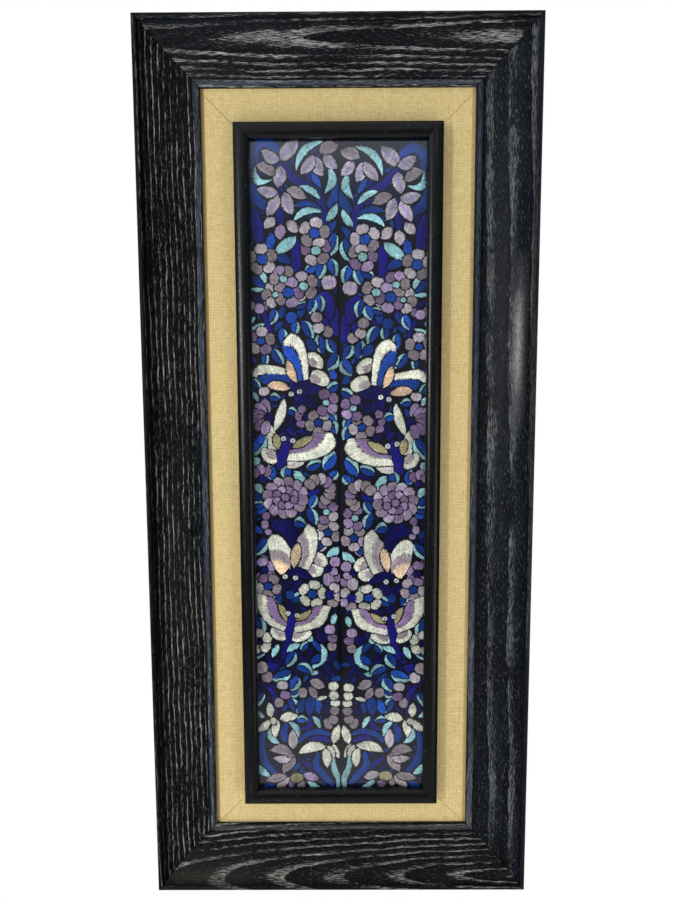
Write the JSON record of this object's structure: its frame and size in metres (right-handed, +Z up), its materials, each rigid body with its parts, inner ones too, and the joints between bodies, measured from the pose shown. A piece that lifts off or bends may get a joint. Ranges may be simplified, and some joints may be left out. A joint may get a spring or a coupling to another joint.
{
  "type": "framed silk embroidery panel",
  "caption": "Upright wall-hung panel of embroidered silk bands behind glass, in a narrow black frame, a linen liner and a wide scooped black oak frame.",
  "frame": {"origin": "middle of the flat back of the top outer rail, where the panel lies on the wall", "axes": "+Z up along the long side, +X to the right of one who faces the panel, -Y out of its face, so +Y points into the wall"},
  "size_m": [0.324, 0.038, 0.7371],
  "materials": {
    "black_oak": "black stain on open-grained oak, pale rubbed grain, satin",
    "natural_linen": "plain-woven natural linen glued round the liner rails",
    "black_lacquer": "satin black lacquer on a narrow wooden moulding",
    "clear_glass": "clear picture glass",
    "embroidered_silk": "black silk covered with satin stitch in blues, aqua, lilac, mauve and cream",
    "brown_board": "plain brown hardboard"
  },
  "bodies": {
    "root": {"outer_rail_top": "black_oak", "outer_rail_right": "black_oak", "outer_rail_bottom": "black_oak", "outer_rail_left": "black_oak", "liner_rail_top": "natural_linen", "liner_rail_right": "natural_linen", "liner_rail_bottom": "natural_linen", "liner_rail_left": "natural_linen", "inner_rail_top": "black_lacquer", "inner_rail_right": "black_lacquer", "inner_rail_bottom": "black_lacquer", "inner_rail_left": "black_lacquer", "glass_pane": "clear_glass", "backing_board": "brown_board", "silk_band_left": "embroidered_silk", "silk_band_right": "embroidered_silk"}
  },
  "joints": []
}
